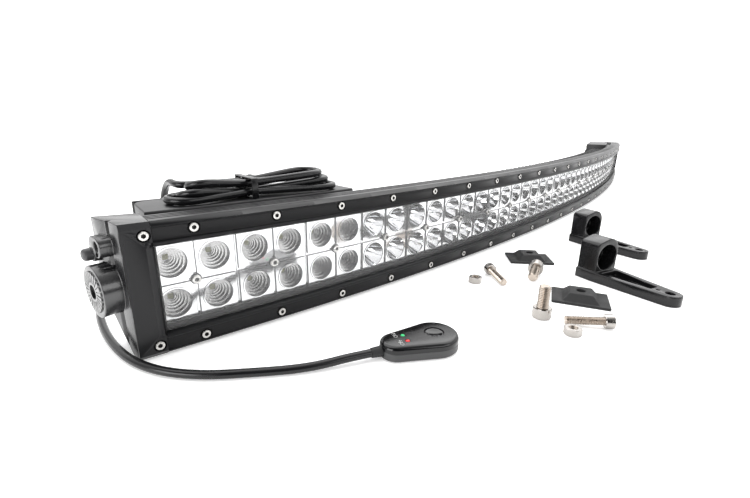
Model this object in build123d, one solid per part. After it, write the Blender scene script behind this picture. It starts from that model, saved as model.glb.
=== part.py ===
from build123d import *
from math import atan2, degrees, pi, radians, tan
import os

os.makedirs("parts", exist_ok=True)

# A curved dual-row LED light bar with its switch lead and its loose mounting kit.
# Millimetres, +Z up. The bar stands on its lower edge and bends about a vertical axis,
# its lit side convex and facing -Y. A place on the bar is a station s, measured along
# the bezel face from mid-length, a depth behind that face, and a height above the ground.
# The origin is the middle of the bar's flat underside.

# --- driving dimensions ---------------------------------------------------------------
module_pitch = 50.8
module_count = 24
flood_modules_per_end = 3
cell = module_pitch / 2
bend_radius = 2834.0
bar_height = 79.0
half_run = 606.0
plate_depth = 19.0
plate_front = 3.0
rear_web_back = 28.0
rear_web_front = 24.0
rib_back = 72.0

mid_height = bar_height / 2
origin_depth = (plate_front + plate_depth) / 2
bend_y = bend_radius - origin_depth
bend_axis = Axis((0, bend_y, 0), (0, 0, 1))

screw_rise = 33.6
step_drop = 5.0

driver_inner = 450.0
driver_top = bar_height
driver_bottom = 1.0
cover_front = 66.0
cover_back = 69.0

boss_depth = 21.5
boss_radius = 15.0
boss_end = 29.0
cap_side = 15.0
flange_side = 21.0

cord_radius = 2.5


# --- helpers --------------------------------------------------------------------------
def at_station(s):
    """Location that carries the mid-length section to station s."""
    turn = degrees(s / bend_radius)
    return Pos(0, bend_y, 0) * Rot(0, 0, turn) * Pos(0, -bend_y, 0)


def block(depth_0, depth_1, low, high):
    """Rectangle of the bar's section, in depth and height."""
    middle = Pos((depth_0 + depth_1) / 2 - origin_depth, (low + high) / 2)
    return middle * Rectangle(depth_1 - depth_0, high - low)


def outline(points):
    """Face of the bar's section from (depth, height) points."""
    return make_face(Polyline(*[(depth - origin_depth, h) for depth, h in points], close=True))


def bent(section, start, end):
    """Section swept round the bend from one station to another."""
    face = Plane.YZ * section
    arc = degrees((end - start) / bend_radius)
    return at_station(start) * revolve(face, axis=bend_axis, revolution_arc=arc)


def peg(radius, depth_0, depth_1, height):
    """Round peg along the depth, in the mid-length section."""
    middle = Pos(0, (depth_0 + depth_1) / 2 - origin_depth, height)
    return middle * Rot(90, 0, 0) * Cylinder(radius, depth_1 - depth_0)


def side_peg(radius, side_0, side_1, depth, height):
    """Round peg along the bar, outwards from an end's seam."""
    middle = Pos((side_0 + side_1) / 2, depth - origin_depth, height)
    return middle * Rot(0, 90, 0) * Cylinder(radius, side_1 - side_0)


def screw(head_radius, head_front, head_back, tip, height, shank_radius, socket):
    """Socket screw that points backwards, in the mid-length section."""
    body = peg(head_radius, head_front, head_back, height)
    body += peg(shank_radius, head_back, tip, height)
    socket_depth = 0.6 * (head_back - head_front)
    key = Pos(0, head_front + socket_depth / 2 - origin_depth, height) * Rot(90, 0, 0)
    return body - key * extrude(RegularPolygon(socket, 6), socket_depth / 2, both=True)


def save(name, shape):
    """Write one sub-part as one STEP file."""
    solids = list(shape) if isinstance(shape, (list, ShapeList)) else shape.solids()
    made = solids[0] if len(solids) == 1 else Compound(children=list(solids))
    made.label = name
    export_step(made, f"parts/{name}.step")


def mirrored(shape):
    """The same piece for the left end."""
    return mirror(shape, about=Plane.YZ)


module_stations = [(k - (module_count - 1) / 2) * module_pitch for k in range(module_count)]
screw_heights = [mid_height - screw_rise, mid_height + screw_rise]


# --- housing: one curved channel ------------------------------------------------------
def housing():
    low, high = 0.0, bar_height
    section = block(plate_front, plate_depth, low, high)
    section += block(plate_depth - 1, rear_web_back, low + step_drop, high - step_drop)
    lens_pocket_rise = 30.0
    cavity_rise = 26.5
    section -= block(plate_front - 1, 7.2, mid_height - lens_pocket_rise, mid_height + lens_pocket_rise)
    section -= block(7, rear_web_front, mid_height - cavity_rise, mid_height + cavity_rise)
    groove_width = 1.5
    groove_depth = 1.0
    for depth in (8.0, 11.5, 15.0):
        section -= block(depth, depth + groove_width, high - groove_depth, high + 1)
        section -= block(depth, depth + groove_width, low - 1, low + groove_depth)
    for depth in (21.5, 24.5):
        section -= block(depth, depth + groove_width, high - step_drop - groove_depth, high)
        section -= block(depth, depth + groove_width, low, low + step_drop + groove_depth)
    holes = []
    for s in module_stations:
        holes += [at_station(s) * peg(1.55, 2, 12.5, height) for height in screw_heights]
        holes.append(at_station(s) * peg(1.45, rear_web_front - 1, rear_web_back + 1, mid_height))
    return bent(section, -half_run, half_run) - holes


# --- bezel strips ---------------------------------------------------------------------
def bezel(side):
    """Curved strip above (side 1) or below (side -1) the window."""
    profile = [
        (3.0, 25.4), (1.2, 25.4), (-1.4, 27.0), (-1.4, 28.4), (0.4, 28.9),
        (0.4, 36.2), (-0.6, 36.6), (-0.6, 37.2), (3.0, 39.5),
    ]
    strip = bent(outline([(d, mid_height + side * rise) for d, rise in profile]), -half_run, half_run)
    height = mid_height + side * screw_rise
    holes = []
    for s in module_stations:
        holes.append(at_station(s) * (peg(3.5, -2, 1.8, height) + peg(1.7, 1, 4, height)))
    return strip - holes


def bezel_screws():
    one = [screw(2.6, -0.3, 1.8, 12.0, height, 1.5, 1.45) for height in screw_heights]
    return [at_station(s) * item for s in module_stations for item in one]


# --- window ---------------------------------------------------------------------------
lens_low, lens_high = mid_height - 29.5, mid_height + 29.5
lens_end = half_run - 1.0


def lens():
    return bent(block(plate_front, 6.0, lens_low, lens_high), -lens_end, lens_end)


def lens_gasket():
    width = 3.0
    outer = bent(block(6.0, 7.2, lens_low, lens_high), -lens_end, lens_end)
    inner_end = lens_end - 1.2
    return outer - bent(block(5.0, 8.0, lens_low + width, lens_high - width), -inner_end, inner_end)


# --- optics: flat modules of four cups on the bend ------------------------------------
reflector_face = 8.6
reflector_back = 21.4
board_front = 22.4
module_width = 50.2


def reflector_module(mouth, throat):
    height = 50.6
    thickness = reflector_back - reflector_face
    middle = Pos(0, (reflector_face + reflector_back) / 2 - origin_depth, mid_height)
    body = middle * Box(module_width, thickness, height)
    for x in (-cell / 2, cell / 2):
        for z in (-cell / 2, cell / 2):
            cup = Rot(-90, 0, 0) * Cone(mouth, throat, thickness)
            body -= middle * Pos(x, 0, z) * cup
    return body - peg(1.6, reflector_face - 1, reflector_back + 1, mid_height)


def is_flood(k):
    return k < flood_modules_per_end or k >= module_count - flood_modules_per_end


def reflectors(flood):
    one = reflector_module(8.8, 3.0) if flood else reflector_module(9.8, 2.7)
    return [at_station(s) * one for k, s in enumerate(module_stations) if is_flood(k) == flood]


def led_boards():
    thickness = rear_web_front - board_front
    middle = Pos(0, (board_front + rear_web_front) / 2 - origin_depth, mid_height)
    one = middle * Box(module_width, thickness - 0.1, 51) - peg(1.8, 20, 26, mid_height)
    return [at_station(s) * one for s in module_stations]


def led_emitters():
    package = 3.4
    chips = []
    for x in (-cell / 2, cell / 2):
        for z in (-cell / 2, cell / 2):
            middle = Pos(x, 21.9 - origin_depth, mid_height + z)
            chips.append(middle * Box(package, 1.0, package))
    return [at_station(s) * chip for s in module_stations for chip in chips]


def reflector_screws():
    one = screw(2.7, reflector_face - 2.2, reflector_face, 27.0, mid_height, 1.4, 1.4)
    return [at_station(s) * one for s in module_stations]


# --- finned back ----------------------------------------------------------------------
def heat_sink():
    run = driver_inner - 1.0
    fin_pitch = module_pitch / 4
    fin_thickness = 2.6
    base_back = 31.5
    fin_back = 60.0
    low, high = 8.0, bar_height - 8.0
    corner = 6.0
    base = bent(block(rear_web_back, base_back, low, high), -run, run)
    fin_face = outline([
        (base_back - 1, low), (fin_back - corner, low), (fin_back, low + corner + 2),
        (fin_back, high - corner - 2), (fin_back - corner, high), (base_back - 1, high),
    ])
    fin = extrude(Plane.YZ * fin_face, fin_thickness / 2, both=True)
    count = int(run / fin_pitch)
    return base + [at_station(k * fin_pitch) * fin for k in range(-count, count + 1)]


# --- driver boxes at the ends of the back ---------------------------------------------
driver_corner = 12.0
driver_outer = half_run - 2.5
cover_screw_places = [
    (driver_inner + 6, driver_bottom + 5), (driver_inner + 6, driver_top - 5),
    (driver_outer - 12, driver_bottom + 5), (driver_outer - 12, driver_top - 5),
]


def outer_rear_edges(solid):
    """Upright edge of a box that is farthest out and at the rear."""
    upright = solid.edges().filter_by(Axis.Z)
    return upright.sort_by(Axis.X)[-2:].sort_by(Axis.Y)[-1:]


def driver_box():
    wall = 4.0
    shell = bent(block(rear_web_back, cover_front, driver_bottom, driver_top), driver_inner, driver_outer)
    shell = fillet(outer_rear_edges(shell), driver_corner - 3)
    room = bent(
        block(rear_web_back + wall, cover_front + 1, driver_bottom + wall + 5, driver_top - wall - 5),
        driver_inner + wall + 7, driver_outer - wall - 13,
    )
    holes = [at_station(s) * peg(1.3, cover_front - 12, cover_front + 1, z) for s, z in cover_screw_places]
    return shell - room - holes


def driver_cover(gland_station=None, gland_height=None):
    rib_pitch = 9.5
    rib_width = 3.2
    margin = 14.0
    plate = bent(block(cover_front, cover_back, driver_bottom, driver_top), driver_inner, driver_outer)
    plate = fillet(outer_rear_edges(plate), 2.5)
    rib_face = outline([
        (cover_back - 1, driver_bottom + 12), (rib_back, driver_bottom + 15),
        (rib_back, driver_top - 15), (cover_back - 1, driver_top - 12),
    ])
    rib = extrude(Plane.YZ * rib_face, rib_width / 2, both=True)
    count = int((driver_outer - driver_inner - 2 * margin) / rib_pitch)
    ribs = [at_station(driver_inner + margin + k * rib_pitch) * rib for k in range(count + 1)]
    holes = [at_station(s) * peg(1.5, cover_front - 1, rib_back, z) for s, z in cover_screw_places]
    cover = plate + ribs - holes
    if gland_station is not None:
        seat = at_station(gland_station) * peg(11.0, cover_back, rib_back + 1, gland_height)
        bore = at_station(gland_station) * peg(4.0, cover_front - 1, cover_back + 1, gland_height)
        cover = cover - seat - bore
    return cover


def driver_cover_screws():
    head_seat = cover_back + 0.03
    made = []
    for s, z in cover_screw_places:
        head = peg(2.8, head_seat, head_seat + 2.0, z)
        shank = peg(1.25, cover_front - 11, head_seat, z)
        made.append(at_station(s) * (head + shank))
    return made + [mirrored(item) for item in made]


def driver_board():
    board = bent(block(40.0, 41.6, driver_bottom + 12, driver_top - 12), driver_inner + 16, half_run - 28)
    parts_on_board = []
    for s, size, tall in ((480.0, 16.0, 12.0), (505.0, 12.0, 16.0), (532.0, 18.0, 10.0), (558.0, 10.0, 14.0)):
        middle = Pos(0, 41.6 + tall / 2 - origin_depth, mid_height + 4)
        parts_on_board.append(at_station(s) * middle * Box(size, tall, 1.6 * size))
    return board + parts_on_board


# --- ends: drawn for the right end, side measured outwards from the seam ---------------
end_seam = at_station(half_run)
boss_pivot = Pos(24.0, boss_depth - origin_depth, 0)
squared = boss_pivot * Rot(0, 0, -degrees(half_run / bend_radius)) * boss_pivot.inverse()
cap_front = 3.0
cap_back = 33.0
boss_thread_radius = 3.4
washer_radius = 11.6
washer_thickness = 1.8
lug_depth, lug_height, lug_radius, lug_end = 17.5, 64.8, 5.8, 25.5
lug_stretch = 4.5
end_screw_side = 4.0
end_screw_heights = [mid_height - 32.5, mid_height + 32.5]


def side_plan(points):
    """Face in plan from (side, depth) points."""
    return make_face(Polyline(*[(side, depth - origin_depth) for side, depth in points], close=True))


def end_cap():
    plan = side_plan([
        (0, cap_front), (cap_side, cap_front), (17.4, 15.0), (15.6, 17.0), (18.6, 17.5),
        (21.705, 25.1), (23.42, cap_back), (0, 28.0),
    ])
    body = extrude(plan, bar_height)
    hollow = Pos(5, 15.0 - origin_depth, mid_height) * Box(10.2, 18, 54)
    body -= Pos(-0.1, 0, 0) * hollow
    taper = Polyline((24.0, 32.5), (24.0, -1), (16.2, -1), (23.45, 32.5), close=True)
    foot_cut = make_face(taper)
    body -= extrude(Plane.XZ * foot_cut, 60, both=True)
    body += squared * side_peg(boss_radius, 13.5, boss_end, boss_depth, mid_height)
    body += squared * side_peg(lug_radius, 13.5, lug_end, lug_depth, lug_height)
    body += squared * side_peg(lug_radius, 13.5, lug_end, lug_depth + lug_stretch, lug_height)
    between = Box(lug_end - 13.5, lug_stretch, 2 * lug_radius)
    lug_middle = lug_depth + lug_stretch / 2 - origin_depth
    body += squared * Pos((lug_end + 13.5) / 2, lug_middle, lug_height) * between
    washer_seat = boss_end - washer_thickness + 0.6
    body -= squared * side_peg(washer_radius + 0.2, washer_seat, boss_end + 1, boss_depth, mid_height)
    body -= squared * side_peg(boss_thread_radius, 14.0, boss_end + 1, boss_depth, mid_height)
    body -= squared * side_peg(2.9, lug_end - 5, lug_end + 1, lug_depth, lug_height + 0.6)
    body -= squared * side_peg(1.1, lug_end - 3, lug_end + 1, lug_depth, lug_height - 3.8)
    for height in end_screw_heights:
        body -= Pos(end_screw_side, 0, 0) * peg(1.55, cap_front - 1, 13.0, height)
    return body


def end_bezel():
    plan = side_plan([(0.1, -0.6), (cap_side, -0.6), (cap_side, cap_front), (0.1, cap_front)])
    plate = extrude(plan, bar_height)
    upper_edge = plate.faces().sort_by(Axis.Z)[-1].edges().filter_by(Axis.X).sort_by(Axis.Y)[:1]
    lower_edge = plate.faces().sort_by(Axis.Z)[0].edges().filter_by(Axis.X).sort_by(Axis.Y)[:1]
    plate = chamfer(upper_edge + lower_edge, 3.0)
    ridge_rise = 26.0
    ridge = Pos(1.9, 0.4 - origin_depth, mid_height) * Cylinder(2.2, 2 * ridge_rise)
    behind = Pos(1.9, cap_front + 5 - origin_depth, mid_height) * Box(10, 10, bar_height)
    plate += (ridge - behind) & (Pos(5.1, 0, mid_height) * Box(10, 40, bar_height))
    for height in end_screw_heights:
        hole = peg(3.5, -2, 1.6, height) + peg(1.7, 1, 4, height)
        plate -= Pos(end_screw_side, 0, 0) * hole
    return plate


def tooth_washer():
    seat = boss_end - washer_thickness + 0.6
    ring = side_peg(washer_radius, seat, seat + washer_thickness, boss_depth, mid_height)
    ring -= side_peg(4.2, seat - 1, seat + washer_thickness + 1, boss_depth, mid_height)
    tooth_count = 24
    notch_inner, notch_width, notch_depth = 5.6, 0.8, 0.5
    notch_length = washer_radius + 1 - notch_inner
    notches = []
    for k in range(tooth_count):
        notch = Pos(0, notch_inner + notch_length / 2, 0) * Box(notch_width, notch_length, 2 * notch_depth)
        face_place = Pos(seat + washer_thickness, boss_depth - origin_depth, mid_height)
        notches.append(face_place * Rot(0, 90, 0) * Rot(0, 0, k * 360 / tooth_count) * notch)
    return squared * (ring - notches)


def end_bezel_screws():
    made = []
    for height in end_screw_heights:
        one = screw(2.6, -0.5, 1.6, 12.0, height, 1.5, 1.45)
        made.append(end_seam * Pos(end_screw_side, 0, 0) * one)
    return made + [mirrored(item) for item in made]


def vent_plug():
    depth, height = 31.0, 58.4
    base = side_peg(4.6, flange_side, flange_side + 3.0, depth, height)
    base += side_peg(3.6, flange_side + 3.0, flange_side + 8.0, depth, height)
    tip = base.faces().sort_by(Axis.X)[-1].edges()
    return mirrored(end_seam * squared * fillet(tip, 2.2))


# --- cord: one lead from the gland, through the hank on the bar, to the switch ---------
gland_station = 472.0
gland_height = 30.0
gland_end = 97.0
hank_floor = bar_height + 0.2
waist, waist_front, waist_rear, waist_top = 7.0, 31.0, 58.0, 12.8
tie_thickness = 0.9

pigtail_route = [
    (-453.7, 123.9, 30.0), (-450.8, 141.6, 29.2), (-448.9, 158.5, 23.0), (-450.5, 174.5, 12.5),
    (-458.2, 185.5, 4.5), (-471.6, 188.4, 3.2), (-484.7, 180.1, 9.0), (-492.9, 164.3, 21.0),
    (-496.8, 148.7, 39.0), (-498.6, 136.4, 60.0), (-499.7, 124.9, 78.0), (-501.1, 111.9, 88.0),
    (-503.9, 97.2, 88.3),
]
lead_route = [
    (-559.5, 108.1, 88.3), (-556.7, 121.8, 89.0), (-554.8, 133.6, 84.0), (-554.1, 141.7, 72.0),
    (-554.7, 145.9, 56.0), (-556.0, 149.2, 38.0), (-557.9, 154.2, 20.0), (-562.1, 162.2, 6.5),
    (-571.0, 170.8, 2.6), (-584.9, 172.4, 2.6), (-597.6, 162.2, 2.6), (-606.8, 145.5, 2.6),
    (-612.8, 124.5, 2.6), (-617.6, 102.1, 2.6), (-620.3, 78.9, 2.6), (-619.9, 55.8, 2.6),
    (-613.8, 34.3, 2.6), (-601.4, 15.2, 2.6), (-585.0, -0.5, 2.6), (-567.0, -16.5, 2.6),
    (-554.0, -25.6, 3.2), (-541.6, -32.4, 4.3), (-529.3, -39.1, 4.3),
]


def rounded_route(points):
    """Straight runs joined by tangent arcs as large as the runs allow."""
    corners = [Vector(*p) for p in points]
    radii = []
    for before, here, after in zip(corners, corners[1:], corners[2:]):
        turn = radians((here - before).get_angle(after - here))
        shorter = min((here - before).length, (after - here).length)
        radii.append(0.45 * shorter / tan(turn / 2))
    return FilletPolyline(*corners, radius=radii), radii


def cord_tube(name, points):
    path, radii = rounded_route(points)
    start = Plane(origin=path @ 0, z_dir=path % 0)
    tube = sweep(start * Circle(cord_radius), path=path)
    expected = pi * cord_radius**2 * path.length
    print(name, "length", round(path.length, 1), "smallest radius", round(min(radii), 1),
          "radii", [round(r) for r in radii], "volume ratio", round(tube.volume / expected, 4))
    return tube


hank_middle = 526.0


def hank():
    """Outer shape of the folded cable on top of the left driver box."""
    side = make_face(Polyline(
        (-66, 0), (-66, 10.5), (-48, 16.5), (-20, 18.0), (2, waist_top), (20, waist_top),
        (50, 12.5), (62, 9.0), (62, 0), (waist + 2.6, 0), (waist + 2.6, tie_thickness + 0.2),
        (waist - 2.6, tie_thickness + 0.2), (waist - 2.6, 0), close=True,
    ))
    plan = make_face(Polyline(
        (-66, 31), (-66, 54), (-50, 62), (0, 62), (waist - 3, waist_rear), (waist + 3, waist_rear),
        (14, 62), (62, 62), (62, 31), (50, 27), (14, 27), (waist + 3, waist_front),
        (waist - 3, waist_front), (0, 27), (-50, 27), close=True,
    ))
    tall = Pos(0, 0, hank_floor) * extrude(Plane.XZ * side, 100, both=True)
    wide = extrude(Pos(0, -origin_depth) * plan, 200)
    return mirrored(at_station(hank_middle) * (tall & wide))


def hank_tie():
    """Cable tie round the waist of the hank."""
    slack = 0.1
    low, high = tie_thickness + 0.1, waist_top + slack
    front, rear = waist_front - slack, waist_rear + slack
    middle = Pos(waist, (front + rear) / 2 - origin_depth, hank_floor + (low + high) / 2)
    inner = middle * Box(6, rear - front, high - low)
    outer = middle * Box(4.4, rear - front + 2 * tie_thickness, high - low + 2 * tie_thickness)
    return outer - inner


def cable_gland():
    base = cover_back
    hexagon = Plane.XZ * RegularPolygon(9.5, 6)
    body = Pos(0, base + 8.0 - origin_depth, gland_height) * extrude(hexagon, 8.0)
    dome = peg(7.2, base + 8.0, base + 12.0, gland_height)
    taper = Pos(0, (base + 12 + gland_end) / 2 - origin_depth, gland_height) * Rot(-90, 0, 0)
    relief = taper * Cone(5.0, cord_radius + 0.6, gland_end - base - 12)
    stem = peg(3.9, cover_front - 4, base, gland_height)
    return mirrored(at_station(gland_station) * (body + dome + relief + stem))


# --- switch pod: drawn along +X from the cord's entry, resting on the ground ----------
pod_place = Pos(-524.0, -42.0, 0) * Rot(0, 0, -28.6)
pod_tail, pod_head = 10.0, 15.0
pod_head_x = 35.0
pod_split = 5.6
pod_top = 10.0
pod_wall = 1.6
button_radius = 5.8
indicator_x = 15.5
indicator_sides = {"on_indicator": 3.2, "off_indicator": -3.6}
cord_entry_height = 4.3


def pod_outline(inset=0.0):
    tail = Pos(pod_tail, 0) * Circle(pod_tail - inset)
    head = Pos(pod_head_x, 0) * Circle(pod_head - inset)
    return make_hull(tail.edges() + head.edges())


def entry_bore(radius):
    return Pos(-1, 0, cord_entry_height) * Rot(0, 90, 0) * Cylinder(radius, 10)


def switch_base():
    tray = extrude(pod_outline(), pod_split)
    tray = chamfer(tray.faces().sort_by(Axis.Z)[0].edges(), 1.2)
    tray -= Pos(0, 0, pod_wall) * extrude(pod_outline(pod_wall), pod_split)
    return tray - entry_bore(3.5)


def switch_cover():
    lid = Pos(0, 0, pod_split) * extrude(pod_outline(), pod_top - pod_split)
    lid = fillet(lid.faces().sort_by(Axis.Z)[-1].edges(), 2.8)
    ceiling = 8.2
    lid -= Pos(0, 0, pod_split - 1) * extrude(pod_outline(pod_wall + 1.0), ceiling - pod_split + 1)
    lid -= Pos(pod_head_x, 0, pod_top) * Cylinder(button_radius + 0.3, 8)
    for side in indicator_sides.values():
        lid -= Pos(indicator_x, side, pod_top) * Cylinder(1.55, 8)
    return lid - entry_bore(3.5)


def power_button():
    cap = Pos(pod_head_x, 0, 8.4) * Cylinder(button_radius, 2.4)
    dish = Pos(pod_head_x, 0, 9.6 + 21.4) * Sphere(22.0)
    skirt = Pos(pod_head_x, 0, 7.5) * Cylinder(button_radius + 1.0, 0.8)
    return cap - dish + skirt


def indicator(side):
    lamp = Pos(indicator_x, side, 7.3) * Cylinder(1.45, 6.0)
    return fillet(lamp.faces().sort_by(Axis.Z)[-1].edges(), 1.0)


def switch_board():
    board = Pos(0, 0, 2.8) * extrude(pod_outline(pod_wall + 0.6), 1.4)
    return board & (Pos(30, 0, 3) * Box(44, 40, 10))


def tact_switch():
    body = Pos(pod_head_x, 0, 4.9) * Box(6, 6, 1.4)
    return body + Pos(pod_head_x, 0, 5.8) * Cylinder(1.7, 0.5)


def switch_strain_relief():
    cone = Pos(-2.87, 0, cord_entry_height) * Rot(0, 90, 0) * Cone(cord_radius + 0.4, 3.3, 6.2)
    inside = Pos(1.2, 0, cord_entry_height) * Rot(0, 90, 0) * Cylinder(3.3, 2.0)
    return cone + inside


# --- loose mounting kit ---------------------------------------------------------------
foot_hole_x = 71.5
foot_thickness = 8.5
foot_bore = 3.3
tab_back, tab_front, tab_web = -1.5, 16.5, 5.0
tab_bore = 4.2
tab_recess = 11.3
tab_bore_side, tab_bore_height = -0.3, 20.5
bracket_places = {
    "right_bracket": Pos(-175.0, -59.2, 0) * Rot(0, 0, -114.6),
    "left_bracket": Pos(-290.4, -96.9, 0) * Rot(0, 0, -114.6),
}
pad_places = {
    "right_pad": Pos(-287.2, -41.8, 0) * Rot(0, 0, -55.9),
    "left_pad": Pos(-357.4, -107.7, 0) * Rot(0, 0, -72.8),
}


def bracket():
    half_base, tip_radius = 15.0, 8.5
    base = Pos((tab_back + 14) / 2, 0) * Rectangle(14 - tab_back, 2 * half_base)
    tip = Pos(foot_hole_x, 0) * Circle(tip_radius)
    foot = extrude(make_hull(base.edges() + tip.edges()), foot_thickness)
    pocket = make_face(Polyline((20, -9.5), (59, -4.6), (59, 4.6), (20, 9.5), close=True))
    foot -= Pos(0, 0, 4.0) * extrude(fillet(pocket.vertices(), 1.5), foot_thickness)
    foot -= Pos(foot_hole_x, 0, 0) * Cylinder(foot_bore, 3 * foot_thickness)
    foot -= Pos(63.0, -1.5, foot_thickness) * Cylinder(1.1, 3.0)
    upright = make_face(Polyline((-13.2, 0), (-13.2, 33.5), (0, 37), (12.8, 37), (12.8, 0), close=True))
    rounded = {11.0: (12.8, 37), 4.0: (-13.2, 33.5)}
    for radius, corner in rounded.items():
        at_corner = [v for v in upright.vertices() if (v.X - corner[0])**2 + (v.Y - corner[1])**2 < 0.01]
        upright = fillet(at_corner, radius)
    tab = Pos(tab_back, 0, 0) * extrude(Plane.YZ * upright, tab_front - tab_back)
    centre = Pos(0, tab_bore_side, tab_bore_height) * Rot(0, 90, 0)
    tab -= centre * Pos(0, 0, tab_front) * Cylinder(tab_recess, 2 * (tab_front - tab_back - tab_web))
    tab -= centre * Cylinder(tab_bore, 60)
    return foot + tab


def pad():
    plate = Pos(0, 0, 1) * Box(41, 30, 2)
    lower = Pos(0, 0, 2) * Rectangle(26, 26)
    upper = Pos(0, 0, 7.6) * Rectangle(16, 17)
    raised = loft([lower.face(), upper.face()])
    return plate + raised - Cylinder(3.2, 40)


def cap_screw(diameter, length):
    """Socket head screw on its own axis: head above Z=0, shank below."""
    head_radius = {6: 5.0, 8: 6.5}[diameter]
    body = Pos(0, 0, diameter / 2) * Cylinder(head_radius, diameter)
    body += Pos(0, 0, -length / 2) * Cylinder(diameter / 2, length)
    socket = {6: 2.9, 8: 3.5}[diameter]
    key = Pos(0, 0, diameter / 2) * extrude(RegularPolygon(socket, 6), diameter)
    return body - key


def lying(bolt, diameter, length, x, y, heading):
    """Bolt on the ground, on its head's rim and its tip, middle at x, y."""
    head_radius = {6: 5.0, 8: 6.5}[diameter]
    tilt = degrees(atan2(head_radius - diameter / 2, length))
    laid = Rot(0, 0, heading) * Rot(0, -90 + tilt, 0) * Pos(0, 0, (length - diameter) / 2) * bolt
    return Pos(x, y, -laid.bounding_box().min.Z) * laid


def nut():
    return extrude(RegularPolygon(5.77, 6), 5.0) - Cylinder(3.0, 20)


# --- write every sub-part ---------------------------------------------------------------
save("housing", housing())
save("heat_sink", heat_sink())
save("top_bezel", bezel(1))
save("bottom_bezel", bezel(-1))
save("bezel_screws", bezel_screws())
save("lens", lens())
save("lens_gasket", lens_gasket())
save("flood_reflectors", reflectors(True))
save("spot_reflectors", reflectors(False))
save("reflector_screws", reflector_screws())
save("led_boards", led_boards())
save("led_emitters", led_emitters())

ends = {
    "end_cap": end_seam * end_cap(),
    "end_bezel": end_seam * end_bezel(),
    "tooth_washer": end_seam * tooth_washer(),
    "driver_box": driver_box(),
    "driver_board": driver_board(),
}
for name, shape in ends.items():
    save(f"right_{name}", shape)
    save(f"left_{name}", mirrored(shape))
save("right_driver_cover", driver_cover())
save("left_driver_cover", mirrored(driver_cover(gland_station, gland_height)))
save("driver_cover_screws", driver_cover_screws())
save("end_bezel_screws", end_bezel_screws())
save("vent_plug", vent_plug())

save("cable_gland", cable_gland())
save("harness_pigtail", cord_tube("harness_pigtail", pigtail_route))
save("harness_hank", hank())
save("hank_tie", mirrored(at_station(hank_middle) * hank_tie()))
save("switch_lead", cord_tube("switch_lead", lead_route))

pod_parts = {
    "switch_base": switch_base(),
    "switch_cover": switch_cover(),
    "power_button": power_button(),
    "switch_board": switch_board(),
    "tact_switch": tact_switch(),
    "switch_strain_relief": switch_strain_relief(),
}
for name, side in indicator_sides.items():
    pod_parts[name] = indicator(side)
for name, shape in pod_parts.items():
    save(name, pod_place * shape)

for name, place in bracket_places.items():
    save(name, place * bracket())
for name, place in pad_places.items():
    save(name, place * pad())
foot_bolt, boss_bolt = cap_screw(6, 25), cap_screw(8, 16)
save("foot_bolt_1", lying(foot_bolt, 6, 25, -361.0, -40.0, -130.4))
save("foot_bolt_2", lying(foot_bolt, 6, 25, -401.5, -124.5, 116.9))
save("boss_bolt_1", lying(boss_bolt, 8, 16, -333.5, -63.5, -167.4))
save("boss_bolt_2", Pos(-408.5, -95.3, 8) * Rot(180, 0, 0) * boss_bolt)
save("foot_nut_1", Pos(-378.4, -29.1, 0) * Rot(0, 0, 12) * nut())
save("foot_nut_2", Pos(-420.3, -119.5, 0) * Rot(0, 0, 40) * nut())
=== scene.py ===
import math
import bpy
from mathutils import Matrix, Vector


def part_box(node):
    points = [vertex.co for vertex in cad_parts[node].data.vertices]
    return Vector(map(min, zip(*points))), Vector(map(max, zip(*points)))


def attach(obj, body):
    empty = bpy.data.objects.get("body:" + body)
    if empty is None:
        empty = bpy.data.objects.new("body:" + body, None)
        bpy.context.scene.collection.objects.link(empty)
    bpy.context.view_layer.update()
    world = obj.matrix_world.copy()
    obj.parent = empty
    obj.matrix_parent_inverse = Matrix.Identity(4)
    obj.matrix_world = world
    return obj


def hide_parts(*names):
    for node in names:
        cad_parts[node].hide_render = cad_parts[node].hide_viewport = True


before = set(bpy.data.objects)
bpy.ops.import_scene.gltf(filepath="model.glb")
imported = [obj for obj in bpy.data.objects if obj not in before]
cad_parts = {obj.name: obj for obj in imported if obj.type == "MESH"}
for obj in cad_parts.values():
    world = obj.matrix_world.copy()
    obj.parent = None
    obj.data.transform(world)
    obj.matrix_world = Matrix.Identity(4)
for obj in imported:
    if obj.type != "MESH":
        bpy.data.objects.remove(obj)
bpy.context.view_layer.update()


# --- camera: low, close to the left end, looking along the lit side ----------------------
# It stands about 13 cm above the floor with a wide lens.
bpy.ops.object.select_all(action="DESELECT")
bpy.ops.object.camera_add(location=(-0.69276, -0.17433, 0.13335))
camera = bpy.context.object
camera.name = "camera"
right, up, ahead = (0.6353, -0.7721, 0.0141), (0.2223, 0.2003, 0.9542), (0.7396, 0.6031, -0.2989)
facing = Matrix((right, up, [-part for part in ahead])).transposed().to_quaternion()
camera.rotation_mode = "QUATERNION"
camera.rotation_quaternion = facing
camera.data.sensor_width = 36.0
camera.data.lens = 20.16
camera.data.clip_start, camera.data.clip_end = 0.01, 60.0
bpy.context.scene.camera = camera


# --- studio: a white floor, a bright ceiling panel and soft fills from the front and left
# The studio's walls have darker bands and a dark side, so that polished metal shows both.
bpy.ops.mesh.primitive_plane_add(size=60.0, location=(0, 0, 0))
floor = bpy.context.object
floor.name = "floor"
floor_paper = bpy.data.materials.new("floor_paper")
floor_paper.use_nodes = True
floor_shader = floor_paper.node_tree.nodes["Principled BSDF"]
floor_shader.inputs["Base Color"].default_value = (0.93, 0.93, 0.93, 1)
floor_shader.inputs["Roughness"].default_value = 0.6
floor_shader.inputs["Specular IOR Level"].default_value = 0.2
floor_shader.inputs["Emission Color"].default_value = (1, 1, 1, 1)
floor_shader.inputs["Emission Strength"].default_value = 0.35
floor.data.materials.append(floor_paper)

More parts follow.
